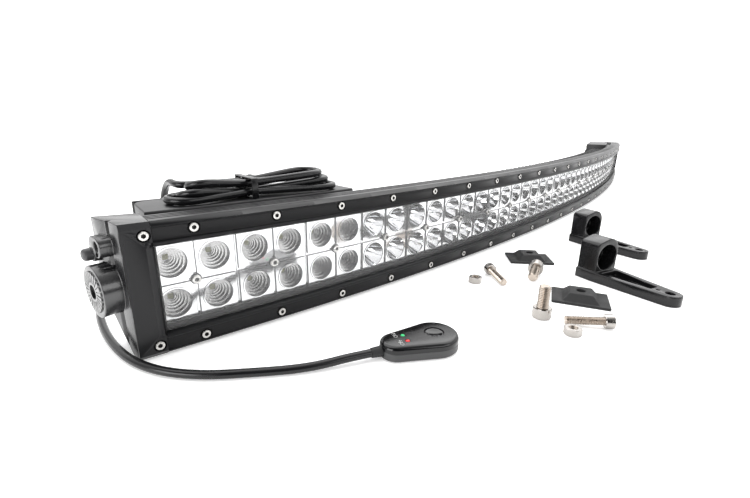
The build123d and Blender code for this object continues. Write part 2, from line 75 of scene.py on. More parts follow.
studio = bpy.data.worlds.new("studio")
bpy.context.scene.world = studio
studio.use_nodes = True
sky = studio.node_tree
backdrop = sky.nodes["Background"]
direction = sky.nodes.new("ShaderNodeTexCoord")
split = sky.nodes.new("ShaderNodeSeparateXYZ")
height_ramp = sky.nodes.new("ShaderNodeValToRGB")
sky.links.new(direction.outputs["Generated"], split.inputs["Vector"])
sky.links.new(split.outputs["Z"], height_ramp.inputs["Fac"])
height_ramp.color_ramp.elements[0].position = 0.0
height_ramp.color_ramp.elements[0].color = (0.3, 0.3, 0.3, 1)
height_ramp.color_ramp.elements[1].position = 0.12
height_ramp.color_ramp.elements[1].color = (1.0, 1.0, 1.0, 1)
towards_back = sky.nodes.new("ShaderNodeVectorMath")
towards_back.operation = "DOT_PRODUCT"
towards_back.inputs[1].default_value = (0.37, 0.30, 0.0)
sky.links.new(direction.outputs["Generated"], towards_back.inputs[0])
shifted = sky.nodes.new("ShaderNodeMath")
shifted.inputs[1].default_value = 0.5
sky.links.new(towards_back.outputs["Value"], shifted.inputs[0])
side_ramp = sky.nodes.new("ShaderNodeValToRGB")
side_ramp.color_ramp.elements[0].position = 0.22
side_ramp.color_ramp.elements[0].color = (0.03, 0.03, 0.03, 1)
side_ramp.color_ramp.elements[1].position = 0.42
side_ramp.color_ramp.elements[1].color = (1.0, 1.0, 1.0, 1)
sky.links.new(shifted.outputs["Value"], side_ramp.inputs["Fac"])
half_turn = sky.nodes.new("ShaderNodeMath")
half_turn.operation = "MULTIPLY_ADD"
half_turn.inputs[1].default_value, half_turn.inputs[2].default_value = 0.5, 0.5
sky.links.new(split.outputs["X"], half_turn.inputs[0])
across = sky.nodes.new("ShaderNodeValToRGB")
for place, shade in ((0.0, 1.0), (0.14, 0.35), (0.3, 1.0), (0.42, 1.0), (0.54, 0.3), (0.64, 1.0)):
    stop = across.color_ramp.elements.new(place)
    stop.color = (shade, shade, shade, 1)
sky.links.new(half_turn.outputs["Value"], across.inputs["Fac"])
both = sky.nodes.new("ShaderNodeMix")
both.data_type, both.blend_type = "RGBA", "MULTIPLY"
both.inputs["Factor"].default_value = 1.0
sky.links.new(height_ramp.outputs["Color"], both.inputs["A"])
sky.links.new(side_ramp.outputs["Color"], both.inputs["B"])
banded = sky.nodes.new("ShaderNodeMix")
banded.data_type, banded.blend_type = "RGBA", "MULTIPLY"
banded.inputs["Factor"].default_value = 1.0
sky.links.new(both.outputs["Result"], banded.inputs["A"])
sky.links.new(across.outputs["Color"], banded.inputs["B"])
backdrop.inputs["Strength"].default_value = 1.6
seen = sky.nodes.new("ShaderNodeLightPath")
choose = sky.nodes.new("ShaderNodeMix")
choose.data_type = "RGBA"
sky.links.new(seen.outputs["Is Camera Ray"], choose.inputs["Factor"])
sky.links.new(banded.outputs["Result"], choose.inputs["A"])
choose.inputs["B"].default_value = (0.7, 0.7, 0.7, 1)
sky.links.new(choose.outputs["Result"], backdrop.inputs["Color"])
bpy.context.scene.view_settings.view_transform = "Standard"


def softbox(name, place, aim, size, power):
    """Rectangular lamp at place that shines at aim."""
    bpy.ops.object.light_add(type="AREA", location=place)
    lamp = bpy.context.object
    lamp.name = name
    lamp.data.shape = "RECTANGLE"
    lamp.data.size, lamp.data.size_y = size
    lamp.data.energy = power
    lamp.rotation_euler = (Vector(aim) - Vector(place)).to_track_quat("-Z", "Y").to_euler()


softbox("ceiling_panel", (0.1, 0.5, 1.5), (-0.2, 0.0, 0.0), (3.2, 2.0), 40)
softbox("front_fill", (-0.5, -1.8, 0.9), (-0.2, 0.0, 0.03), (1.4, 0.8), 10)
softbox("left_fill", (-1.9, 0.1, 0.35), (-0.6, 0.05, 0.04), (0.9, 0.6), 12)


# --- cable: one two-core lead, from the gland behind the bar to the switch ---------------
# Soft black PVC jacket, 5 mm. It leaves the gland, loops up, is folded into a hank on the
# left driver box, then drops behind the end and runs on the ground round to the switch.
def finish(name, colour, roughness, metallic=0.0, gloss=0.5):
    """New material with one colour."""
    made = bpy.data.materials.new(name)
    made.use_nodes = True
    shader = made.node_tree.nodes["Principled BSDF"]
    shader.inputs["Base Color"].default_value = (*colour, 1)
    shader.inputs["Roughness"].default_value = roughness
    shader.inputs["Metallic"].default_value = metallic
    shader.inputs["Specular IOR Level"].default_value = gloss
    return made


def surface_grain():
    """Shader group: fine pits and faint cloudiness, as on coated, moulded or brushed surfaces."""
    group = bpy.data.node_groups.new("surface_grain", "ShaderNodeTree")
    face = group.interface
    face.new_socket("Grain Scale", in_out="INPUT", socket_type="NodeSocketFloat")
    face.new_socket("Cloud Scale", in_out="INPUT", socket_type="NodeSocketFloat")
    face.new_socket("Low Roughness", in_out="INPUT", socket_type="NodeSocketFloat")
    face.new_socket("High Roughness", in_out="INPUT", socket_type="NodeSocketFloat")
    face.new_socket("Depth", in_out="INPUT", socket_type="NodeSocketFloat")
    face.new_socket("Stretch", in_out="INPUT", socket_type="NodeSocketVector")
    face.new_socket("Roughness", in_out="OUTPUT", socket_type="NodeSocketFloat")
    face.new_socket("Normal", in_out="OUTPUT", socket_type="NodeSocketVector")
    face.new_socket("Cloud", in_out="OUTPUT", socket_type="NodeSocketFloat")
    nodes, links = group.nodes, group.links
    given, given_back = nodes.new("NodeGroupInput"), nodes.new("NodeGroupOutput")
    place = nodes.new("ShaderNodeTexCoord")
    stretched = nodes.new("ShaderNodeVectorMath")
    stretched.operation = "MULTIPLY"
    links.new(place.outputs["Object"], stretched.inputs[0])
    links.new(given.outputs["Stretch"], stretched.inputs[1])
    grain, cloud = nodes.new("ShaderNodeTexNoise"), nodes.new("ShaderNodeTexNoise")
    grain.inputs["Detail"].default_value = 3.0
    cloud.inputs["Detail"].default_value = 4.0
    links.new(stretched.outputs["Vector"], grain.inputs["Vector"])
    links.new(place.outputs["Object"], cloud.inputs["Vector"])
    links.new(given.outputs["Grain Scale"], grain.inputs["Scale"])
    links.new(given.outputs["Cloud Scale"], cloud.inputs["Scale"])
    spread = nodes.new("ShaderNodeMapRange")
    links.new(cloud.outputs["Fac"], spread.inputs["Value"])
    spread.inputs["From Min"].default_value = 0.3
    spread.inputs["From Max"].default_value = 0.7
    links.new(given.outputs["Low Roughness"], spread.inputs["To Min"])
    links.new(given.outputs["High Roughness"], spread.inputs["To Max"])
    bump = nodes.new("ShaderNodeBump")
    bump.inputs["Distance"].default_value = 0.0001
    links.new(grain.outputs["Fac"], bump.inputs["Height"])
    links.new(given.outputs["Depth"], bump.inputs["Strength"])
    links.new(spread.outputs["Result"], given_back.inputs["Roughness"])
    links.new(bump.outputs["Normal"], given_back.inputs["Normal"])
    links.new(cloud.outputs["Fac"], given_back.inputs["Cloud"])
    return group


grain_group = surface_grain()


def grained(material, grain, cloud, rough, depth, stretch=(1, 1, 1), tint=None):
    """The material with the grain group in it; tint is a second colour that the clouds bring in."""
    tree = material.node_tree
    shader = tree.nodes["Principled BSDF"]
    node = tree.nodes.new("ShaderNodeGroup")
    node.node_tree = grain_group
    node.inputs["Grain Scale"].default_value = grain
    node.inputs["Cloud Scale"].default_value = cloud
    node.inputs["Low Roughness"].default_value = rough[0]
    node.inputs["High Roughness"].default_value = rough[1]
    node.inputs["Depth"].default_value = depth
    node.inputs["Stretch"].default_value = stretch
    tree.links.new(node.outputs["Roughness"], shader.inputs["Roughness"])
    tree.links.new(node.outputs["Normal"], shader.inputs["Normal"])
    if tint:
        mix = tree.nodes.new("ShaderNodeMix")
        mix.data_type = "RGBA"
        mix.inputs["A"].default_value = shader.inputs["Base Color"].default_value
        mix.inputs["B"].default_value = (*tint, 1)
        tree.links.new(node.outputs["Cloud"], mix.inputs["Factor"])
        tree.links.new(mix.outputs["Result"], shader.inputs["Base Color"])
    return material


cable_jacket = grained(
    finish("cable_jacket", (0.005, 0.005, 0.0055), 0.22, gloss=0.35),
    900, 60, (0.16, 0.3), 0.25, tint=(0.009, 0.009, 0.01),
)

pigtail = [
    (-0.4537, 0.1239, 0.0300), (-0.4508, 0.1416, 0.0292), (-0.4489, 0.1585, 0.0230),
    (-0.4505, 0.1745, 0.0125), (-0.4582, 0.1855, 0.0045), (-0.4716, 0.1884, 0.0032),
    (-0.4847, 0.1801, 0.0090), (-0.4929, 0.1643, 0.0210), (-0.4968, 0.1487, 0.0390),
    (-0.4986, 0.1364, 0.0600), (-0.4997, 0.1249, 0.0780), (-0.5011, 0.1119, 0.0880),
    (-0.5039, 0.0972, 0.0883),
]
lead = [
    (-0.5595, 0.1081, 0.0883), (-0.5567, 0.1218, 0.0890), (-0.5548, 0.1336, 0.0840),
    (-0.5541, 0.1417, 0.0720), (-0.5547, 0.1459, 0.0560), (-0.5560, 0.1492, 0.0380),
    (-0.5579, 0.1542, 0.0200), (-0.5621, 0.1622, 0.0065), (-0.5710, 0.1708, 0.0026),
    (-0.5849, 0.1724, 0.0026), (-0.5976, 0.1622, 0.0026), (-0.6068, 0.1455, 0.0026),
    (-0.6128, 0.1245, 0.0026), (-0.6176, 0.1021, 0.0026), (-0.6203, 0.0789, 0.0026),
    (-0.6199, 0.0558, 0.0026), (-0.6138, 0.0343, 0.0026), (-0.6014, 0.0152, 0.0026),
    (-0.5850, -0.0005, 0.0026), (-0.5670, -0.0165, 0.0026), (-0.5540, -0.0256, 0.0032),
    (-0.5416, -0.0324, 0.0043), (-0.5293, -0.0391, 0.0043),
]

bend_radius = 2.834
bend_centre = 2.823
plate_front_offset = 0.011
hank_station = -0.526
hank_floor = 0.0792


def on_box(along, depth, height):
    """Point over the left driver box: along towards the left end, depth behind the bezel, up."""
    turn = hank_station / bend_radius
    x, y = -along, depth - plate_front_offset - bend_centre
    turned_x = x * math.cos(turn) - y * math.sin(turn)
    turned_y = x * math.sin(turn) + y * math.cos(turn)
    return turned_x, turned_y + bend_centre, hank_floor + height


def hank_fold(reach, front, rear, leftwards):
    """U-turn of one strand: front and rear are (depth, height) of its two legs."""
    radius = (rear[0] - front[0]) / 2
    sign = 1 if leftwards else -1
    centre = reach - sign * radius
    made = []
    for degrees_round in (90, 50, 15, -15, -50, -90):
        turn = math.radians(degrees_round)
        share = (math.sin(turn) + 1) / 2
        depth = front[0] + share * (rear[0] - front[0])
        height = front[1] + share * (rear[1] - front[1])
        made.append((centre + sign * radius * 1.08 * math.cos(turn), depth, height))
    return made if leftwards else made[::-1]


left_folds = [
    (0.0590, (0.0312, 0.0027), (0.0570, 0.0027)),
    (0.0520, (0.0315, 0.0078), (0.0518, 0.0029)),
    (0.0460, (0.0335, 0.0130), (0.0525, 0.0082)),
]
right_folds = [
    (-0.0625, (0.0312, 0.0028), (0.0540, 0.0028)),
    (-0.0570, (0.0335, 0.0082), (0.0570, 0.0080)),
    (-0.0500, (0.0310, 0.0136), (0.0560, 0.0140)),
]
waist = 0.007
waist_places = [
    (0.0523, 0.0040), (0.0367, 0.0040), (0.0471, 0.0040), (0.0419, 0.0040),
    (0.0450, 0.0098), (0.0395, 0.0098), (0.0505, 0.0098),
]


def through_waist(place, leftwards):
    """Two points that carry a strand straight through the tie."""
    depth, height = place
    pair = [(waist - 0.005, depth, height), (waist + 0.005, depth, height)]
    return pair if leftwards else pair[::-1]


hank = [(-0.0060, 0.0560, 0.0078)]
for turn in range(3):
    hank += through_waist(waist_places[2 * turn], True)
    hank += hank_fold(*left_folds[turn], True)
    hank += through_waist(waist_places[2 * turn + 1], False)
    hank += hank_fold(*right_folds[turn], False)
hank += through_waist(waist_places[6], True)
hank += [(0.0290, 0.0550, 0.0092), (0.0420, 0.0580, 0.0090)]

route = pigtail + [on_box(*place) for place in hank] + lead
bpy.ops.object.select_all(action="DESELECT")
bpy.ops.curve.primitive_nurbs_path_add()
cable = bpy.context.object
cable.name = "harness_cable"
cable.data.splines.clear()
strand = cable.data.splines.new("NURBS")
strand.points.add(len(route) - 1)
for point, place in zip(strand.points, route):
    point.co = (*place, 1)
strand.order_u = 3
strand.use_endpoint_u = True
strand.resolution_u = 6
cable.data.bevel_depth = 0.0025
cable.data.bevel_resolution = 4
cable.data.use_fill_caps = True
cable.data.materials.append(cable_jacket)
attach(cable, "light_bar")
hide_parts("harness_pigtail", "harness_hank", "switch_lead")


# --- housing and finned back: black anodised aluminium -----------------------------------
# The channel is one extrusion rolled to the bend; the fins stand on a plate screwed to it.
def coat(node, material):
    """Puts a finish on a CAD node."""
    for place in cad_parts[node].material_slots:
        place.material = material


anodised_black = grained(
    finish("anodised_black", (0.012, 0.012, 0.013), 0.4, gloss=0.5),
    1400, 18, (0.34, 0.46), 0.35, stretch=(0.25, 1, 1), tint=(0.014, 0.014, 0.015),
)
for node in ("housing", "heat_sink"):
    coat(node, anodised_black)


# --- bezel strips: two anodised rails that clamp the window ------------------------------
# Extruded with a soft ridge along the middle; every module has one screw above and below.
def softened(node, material, body="light_bar", width=0.0, segments=2, angle=30, merged=True):
    """Smooth copy of a CAD node with its edges rounded by width, in that node's place."""
    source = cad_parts[node]
    bpy.ops.object.select_all(action="DESELECT")
    piece = source.copy()
    piece.data = source.data.copy()
    for key in list(piece.keys()):
        del piece[key]
    piece.parent = None
    piece.name = node + "_finished"
    bpy.context.collection.objects.link(piece)
    bpy.context.view_layer.objects.active = piece
    piece.select_set(True)
    bpy.ops.object.mode_set(mode="EDIT")
    bpy.ops.mesh.select_all(action="SELECT")
    bpy.ops.mesh.remove_doubles(threshold=0.000002)
    if merged:
        bpy.ops.mesh.dissolve_limited(angle_limit=math.radians(0.4))
    bpy.ops.object.mode_set(mode="OBJECT")
    if width:
        bevel = piece.modifiers.new("edges", "BEVEL")
        bevel.width, bevel.segments = width, segments
        bevel.limit_method, bevel.angle_limit = "ANGLE", math.radians(angle)
        bevel.use_clamp_overlap = False
        bevel.miter_outer = "MITER_ARC"
        bpy.ops.object.modifier_apply(modifier="edges")
    bpy.ops.object.shade_smooth_by_angle(angle=math.radians(angle))
    piece.data.materials.clear()
    piece.data.materials.append(material)
    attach(piece, body)
    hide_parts(node)
    return piece


rail_black = grained(
    finish("rail_black", (0.006, 0.006, 0.0065), 0.33, gloss=0.18),
    1600, 25, (0.28, 0.38), 0.3, stretch=(0.2, 1, 1), tint=(0.01, 0.01, 0.011),
)
for node in ("top_bezel", "bottom_bezel"):
    softened(node, rail_black, width=0.00035, segments=2, angle=40)

stainless = grained(
    finish("stainless", (0.62, 0.61, 0.59), 0.25, 1.0),
    2600, 150, (0.18, 0.34), 0.4, tint=(0.5, 0.49, 0.47),
)


# --- window: clear polycarbonate over a rubber gasket ------------------------------------
clear_sheet = finish("clear_sheet", (1, 1, 1), 0.02)
clear_sheet.node_tree.nodes["Principled BSDF"].inputs["Alpha"].default_value = 0.06
grained(clear_sheet, 300, 20, (0.01, 0.04), 0.05)
coat("lens", clear_sheet)
gasket_rubber = grained(finish("gasket_rubber", (0.02, 0.02, 0.02), 0.75), 700, 60, (0.65, 0.85), 0.5)
coat("lens_gasket", gasket_rubber)


# --- reflectors: metallised plastic modules of four cups ---------------------------------
# Three modules at each end have stepped, faceted flood cups; the rest have deep smooth
# spot cups. Each cell is a raised plate with a lip round its mouth, and one screw holds four.
module_pitch = 0.0508
cell_pitch = module_pitch / 2
module_count = 24
flood_per_end = 3
cup_depth = 0.0128
cup_segments = 32
middle_height = 0.0395
reflector_depth = 0.0086
reflector_front = reflector_depth - plate_front_offset

mirror_plate = grained(
    finish("mirror_plate", (0.84, 0.84, 0.85), 0.06, 1.0),
    220, 90, (0.04, 0.12), 0.25, tint=(0.74, 0.75, 0.76),
)
# The flood cups are the same metallised plastic as the spot cups; their mid grey is painted shade of the
# deep stepped cup and a painted reflection of the dark board. Their higher roughness is their own finish.
flood_mirror_painted_shade = grained(
    finish("flood_mirror_painted_shade", (0.45, 0.45, 0.45), 0.26, 1.0),
    500, 120, (0.16, 0.3), 0.5, tint=(0.36, 0.36, 0.355),
)


# Painted shade: dark grey metal on the plates' edges (the seams between cells), on the risers of the flood
# cups' steps and on the screw boss, where shade falls.
painted_shade_grey = grained(
    finish("painted_shade_grey", (0.12, 0.12, 0.125), 0.35, 1.0),
    600, 90, (0.28, 0.45), 0.3, tint=(0.1, 0.1, 0.1),
)


def lathe(name, profile, steps):
    """Surface turned about +Z from (radius, height) points."""
    bpy.ops.object.select_all(action="DESELECT")
    bpy.ops.mesh.primitive_plane_add(size=0.001)
    turned = bpy.context.object
    turned.name = name
    bpy.ops.object.mode_set(mode="EDIT")
    bpy.ops.mesh.select_mode(type="VERT")
    bpy.ops.mesh.select_all(action="SELECT")
    bpy.ops.mesh.merge(type="CENTER")
    bpy.ops.transform.translate(value=(profile[0][0], 0, profile[0][1]))
    for before, here in zip(profile, profile[1:]):
        step = (here[0] - before[0], 0, here[1] - before[1])
        bpy.ops.mesh.extrude_region_move(TRANSFORM_OT_translate={"value": step})
    bpy.ops.mesh.select_all(action="SELECT")
    bpy.ops.mesh.spin(steps=steps, angle=math.tau, center=(0, 0, 0), axis=(0, 0, 1))
    bpy.ops.mesh.select_all(action="SELECT")
    bpy.ops.mesh.remove_doubles(threshold=0.000001)
    bpy.ops.mesh.normals_make_consistent(inside=False)
    bpy.ops.object.mode_set(mode="OBJECT")
    return turned


def bridge_where(piece, wanted):
    """Bridges the open loops whose edges satisfy wanted(middle point)."""
    bpy.ops.object.select_all(action="DESELECT")
    bpy.context.view_layer.objects.active = piece
    piece.select_set(True)
    bpy.ops.object.mode_set(mode="EDIT")
    bpy.ops.mesh.select_mode(type="EDGE")
    bpy.ops.mesh.select_all(action="DESELECT")
    bpy.ops.mesh.select_non_manifold(extend=False, use_wire=True, use_boundary=True)
    bpy.ops.object.mode_set(mode="OBJECT")
    mesh = piece.data
    for edge in mesh.edges:
        if edge.select:
            middle = (mesh.vertices[edge.vertices[0]].co + mesh.vertices[edge.vertices[1]].co) / 2
            edge.select = wanted(middle)
    bpy.ops.object.mode_set(mode="EDIT")
    bpy.ops.mesh.bridge_edge_loops()
    bpy.ops.object.mode_set(mode="OBJECT")


def join(pieces, name):
    """One object of several."""
    bpy.ops.object.select_all(action="DESELECT")
    for piece in pieces:
        piece.select_set(True)
    bpy.context.view_layer.objects.active = pieces[0]
    bpy.ops.object.join()
    pieces[0].name = name
    return pieces[0]


cell_half = 0.0114
plate_lines = ((1.018, -0.0003), (1.009, -0.0009), (1.0718, 0.0), (1.0, 0.0012 - cup_depth))


def cup_cell(name, profile, cup_material, stepped):
    """One cell: square plate, lip, cup down to the throat and closed back."""
    cup = lathe(name, profile, cup_segments)
    corner_reach = cell_half * math.sqrt(2)
    bpy.ops.mesh.primitive_circle_add(vertices=4, radius=corner_reach, rotation=(0, 0, math.pi / 4))
    square = bpy.context.object
    bpy.ops.object.transform_apply(rotation=True)
    bpy.ops.object.mode_set(mode="EDIT")
    bpy.ops.mesh.select_mode(type="EDGE")
    bpy.ops.mesh.select_all(action="SELECT")
    bpy.ops.mesh.subdivide(number_cuts=7)
    for widen, drop in plate_lines:
        bpy.ops.mesh.extrude_region_move(TRANSFORM_OT_translate={"value": (0, 0, drop)})
        bpy.ops.transform.resize(value=(widen, widen, 1), center_override=(0, 0, 0))
    bpy.ops.object.mode_set(mode="OBJECT")
    cell = join([cup, square], name)
    bridge_where(cell, lambda point: point.z > -0.0005)
    bridge_where(cell, lambda point: point.z < -0.005)
    bpy.ops.object.mode_set(mode="EDIT")
    bpy.ops.mesh.select_all(action="SELECT")
    bpy.ops.mesh.normals_make_consistent(inside=False)
    bpy.ops.object.mode_set(mode="OBJECT")
    cell.data.materials.append(mirror_plate)
    cell.data.materials.append(cup_material)
    cell.data.materials.append(painted_shade_grey)
    mouth = profile[3][0]
    # Plate edges and the flood cups' step risers get the painted shade grey; the other cup faces get the
    # cup's metal and the plate tops the bright metal.
    for face in cell.data.polygons:
        inside = math.hypot(face.center.x, face.center.y) < mouth and -cup_depth + 0.0001 < face.center.z
        plate_edge = abs(face.normal.z) < 0.9 and face.center.z > -0.0013 and not inside
        riser = inside and stepped and abs(face.normal.z) < 0.5
        face.material_index = 2 if riser or plate_edge else 1 if inside else 0
    return cell


def cup_profile(mouth, throat, steps, stepped):
    """Lip, then a paraboloid wall, or a cone that goes down in steps."""
    made = [(mouth + 0.0011, 0.0), (mouth + 0.0009, 0.0005), (mouth + 0.0002, 0.0005), (mouth, 0.0)]
    for k in range(1, steps + 1):
        share = k / steps
        radius = math.sqrt(mouth**2 - (mouth**2 - throat**2) * share)
        if stepped:
            share = 1 - (1 - share) ** 1.5
            radius = mouth - (mouth - throat) * share
            made.append((made[-1][0] - 0.00008, -cup_depth * share))
        made.append((radius, -cup_depth * share - (0.00012 if stepped and k < steps else 0)))
    return made


def module_of(cell, name):
    """Four cells and the screw boss between them."""
    cells = []
    spacing = cell_pitch - 0.0003
    for across in (-0.5, 0.5):
        for along in (-0.5, 0.5):
            one = cell.copy()
            one.data = cell.data.copy()
            bpy.context.collection.objects.link(one)
            one.location = (across * spacing, along * spacing, 0)
            cells.append(one)
    boss = lathe(name + "_boss", [(0.0016, -cup_depth), (0.0034, -cup_depth), (0.0034, 0.0004),
                                  (0.0031, 0.0007), (0.0016, 0.0007), (0.0016, -cup_depth)], 24)
    # The whole boss is coloured with the painted shade grey.
    boss.data.materials.append(painted_shade_grey)
    made = join([boss] + cells, name)
    bpy.ops.object.transform_apply(location=True)
    bpy.data.objects.remove(cell)
    return made


def station(along):
    """Turn that carries a piece at mid-length to its station on the bend."""
    centre = Matrix.Translation((0, bend_centre, 0))
    return centre @ Matrix.Rotation(along / bend_radius, 4, "Z") @ centre.inverted()


facing_out = Matrix.Translation((0, reflector_front, middle_height)) @ Matrix.Rotation(math.pi / 2, 4, "X")
flood_profile = cup_profile(0.0088, 0.0019, 7, True)
spot_profile = cup_profile(0.0098, 0.0027, 12, False)
flood_module = module_of(cup_cell("flood_cell", flood_profile, flood_mirror_painted_shade, True), "flood_module")
spot_module = module_of(cup_cell("spot_cell", spot_profile, mirror_plate, False), "spot_module")
for module, angle in ((flood_module, 8), (spot_module, 40)):
    bpy.ops.object.select_all(action="DESELECT")
    bpy.context.view_layer.objects.active = module
    module.select_set(True)
    bpy.ops.object.shade_smooth_by_angle(angle=math.radians(angle))
for k in range(module_count):
    is_flood = k < flood_per_end or k >= module_count - flood_per_end
    source = flood_module if is_flood else spot_module
    module = source.copy()
    module.data = source.data.copy()
    module.name = f"reflector_module_{k + 1:02d}"
    bpy.context.collection.objects.link(module)
    module.matrix_world = station((k - (module_count - 1) / 2) * module_pitch) @ facing_out
    bpy.ops.object.select_all(action="DESELECT")
    bpy.context.view_layer.objects.active = module
    module.select_set(True)
    bpy.ops.object.transform_apply()
    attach(module, "light_bar")
    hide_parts("flood_reflectors" if is_flood else "spot_reflectors")
bpy.data.objects.remove(flood_module)
bpy.data.objects.remove(spot_module)

board_white = grained(finish("board_white", (0.3, 0.3, 0.3), 0.5), 400, 40, (0.45, 0.6), 0.2)
coat("led_boards", board_white)
phosphor = grained(
    finish("phosphor", (0.26, 0.26, 0.19), 0.3),
    1500, 500, (0.25, 0.4), 0.4, tint=(0.3, 0.3, 0.14),
)
coat("led_emitters", phosphor)


# --- ends: die-cast caps, flat end plates, toothed steel rings and the vent plug ----------
# The caps are screwed to the housing and carry the bosses that the brackets clamp on.
cast_black = grained(
    finish("cast_black", (0.016, 0.016, 0.017), 0.2, gloss=0.9),
    1100, 30, (0.18, 0.3), 0.4, tint=(0.013, 0.013, 0.014),
)
tooth_steel = grained(
    finish("tooth_steel", (0.16, 0.16, 0.16), 0.3, 1.0),
    900, 200, (0.22, 0.4), 0.6, tint=(0.3, 0.3, 0.3),
)
end_plate_black = grained(
    finish("end_plate_black", (0.008, 0.008, 0.009), 0.3, gloss=0.25),
    1300, 25, (0.24, 0.34), 0.3, tint=(0.012, 0.012, 0.013),
)
for side in ("left", "right"):
    softened(side + "_end_cap", cast_black, width=0.0005, segments=3, angle=35)
    softened(side + "_end_bezel", end_plate_black, angle=25, merged=False)
    softened(side + "_tooth_washer", tooth_steel)
plug_grey = grained(finish("plug_grey", (0.05, 0.05, 0.052), 0.45), 900, 60, (0.38, 0.5), 0.4)
softened("vent_plug", plug_grey, width=0.0003)


# --- driver boxes: two closed aluminium boxes at the ends of the back --------------------
# Each holds a circuit board under a ribbed cover; the left one has the cable gland, and the
# cable's hank is tied on top of it.
for side in ("left", "right"):
    softened(side + "_driver_box", anodised_black, width=0.0008, segments=3, angle=40)
    softened(side + "_driver_cover", anodised_black, angle=40, merged=False)
circuit = grained(
    finish("circuit", (0.02, 0.12, 0.045), 0.35),
    300, 80, (0.3, 0.45), 0.3, tint=(0.03, 0.17, 0.06),
)
for node in ("left_driver_board", "right_driver_board", "switch_board"):
    coat(node, circuit)
rubber = grained(
    finish("rubber", (0.016, 0.016, 0.0165), 0.6, gloss=0.3),
    800, 50, (0.5, 0.7), 0.8, tint=(0.022, 0.022, 0.0225),
)
softened("cable_gland", rubber, width=0.0004, angle=35)
softened("hank_tie", cable_jacket, width=0.0002)


# --- switch pod: a two-part housing with a push button and two lamps ---------------------
# Moulded in black plastic; the glossy cover clips on the grey base, and the button and the
# lamps come up through it. The two states are printed in white beside the lamps.
pod_gloss = grained(
    finish("pod_gloss", (0.004, 0.004, 0.0045), 0.1, gloss=0.4),
    1200, 90, (0.08, 0.16), 0.15,
)
pod_grey = grained(finish("pod_grey", (0.04, 0.04, 0.041), 0.42), 1500, 90, (0.36, 0.5), 0.5)
pod_cover = softened("switch_cover", pod_gloss, angle=50)
softened("switch_base", pod_grey, width=0.0003, angle=35)
softened("power_button", pod_gloss, body="button", width=0.0003, angle=35)
softened("switch_strain_relief", rubber, width=0.0003, angle=35)
coat("tact_switch", pod_grey)
green_lamp = grained(finish("green_lamp", (0.02, 0.5, 0.16), 0.15), 900, 200, (0.1, 0.2), 0.1)
red_lamp = grained(finish("red_lamp", (0.75, 0.02, 0.02), 0.15), 900, 200, (0.1, 0.2), 0.1)
lettering = grained(finish("lettering", (0.75, 0.75, 0.74), 0.5), 900, 200, (0.4, 0.6), 0.1)
pod_place = Matrix.Translation((-0.524, -0.042, 0)) @ Matrix.Rotation(math.radians(-28.6), 4, "Z")
for word, across in (("ON", 0.0045), ("OFF", -0.0045)):
    bpy.ops.object.select_all(action="DESELECT")
    bpy.ops.object.text_add()
    letters = bpy.context.object
    letters.name = word.lower() + "_lettering"
    letters.data.body = word
    letters.data.size = 0.0034
    letters.data.align_x, letters.data.align_y = "CENTER", "CENTER"
    letters.data.extrude = 0.00002
    bpy.ops.object.convert(target="MESH")
    above_pod = pod_place @ Matrix.Translation((0.011, across, 0.02))
    letters.matrix_world = above_pod @ Matrix.Rotation(math.pi / 2, 4, "Z")
    bpy.ops.object.transform_apply()
    wrap = letters.modifiers.new("laid", "SHRINKWRAP")
    wrap.target = pod_cover
    wrap.wrap_method, wrap.use_project_z = "PROJECT", True
    wrap.use_negative_direction, wrap.use_positive_direction = True, False
    wrap.offset = 0.00006
    bpy.ops.object.modifier_apply(modifier="laid")
    letters.data.materials.clear()
    letters.data.materials.append(lettering)
    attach(letters, "light_bar")
softened("on_indicator", green_lamp, angle=50)
softened("off_indicator", red_lamp, angle=50)


# --- loose brackets and pads: two cast arms with a boss tab, two rubber pads -------------
# Painted aluminium castings, and moulded rubber that goes under each bracket's foot.
bracket_gloss = grained(
    finish("bracket_gloss", (0.005, 0.005, 0.0055), 0.2, gloss=0.35),
    600, 40, (0.14, 0.28), 0.5, tint=(0.008, 0.008, 0.0085),
)
for side in ("left", "right"):
    bracket, pad = side + "_bracket", side + "_pad"
    softened(bracket, bracket_gloss, bracket + "_piece", width=0.0008, segments=3)
    softened(pad, rubber, pad + "_piece", width=0.0006, segments=3)


# --- socket screws: stainless, head first, for the rails, ends, reflectors and covers -----
# Each is turned with a rounded head and a threaded shank, with a broached hexagon socket.
# Painted shade: the hexagon sockets are the same steel as the heads, coloured near black for the shade
# inside them.
socket_painted_shade = grained(finish("socket_painted_shade", (0.02, 0.019, 0.018), 0.6, 0.6), 2000, 200, (0.5, 0.7), 0.4)
bolt_steel = grained(
    finish("bolt_steel", (0.42, 0.4, 0.38), 0.2, 1.0),
    2600, 150, (0.14, 0.26), 0.4, tint=(0.3, 0.28, 0.26),
)
thread_steel = grained(
    finish("thread_steel", (0.36, 0.31, 0.27), 0.3, 1.0),
    2400, 180, (0.22, 0.4), 0.5, tint=(0.5, 0.44, 0.38),
)


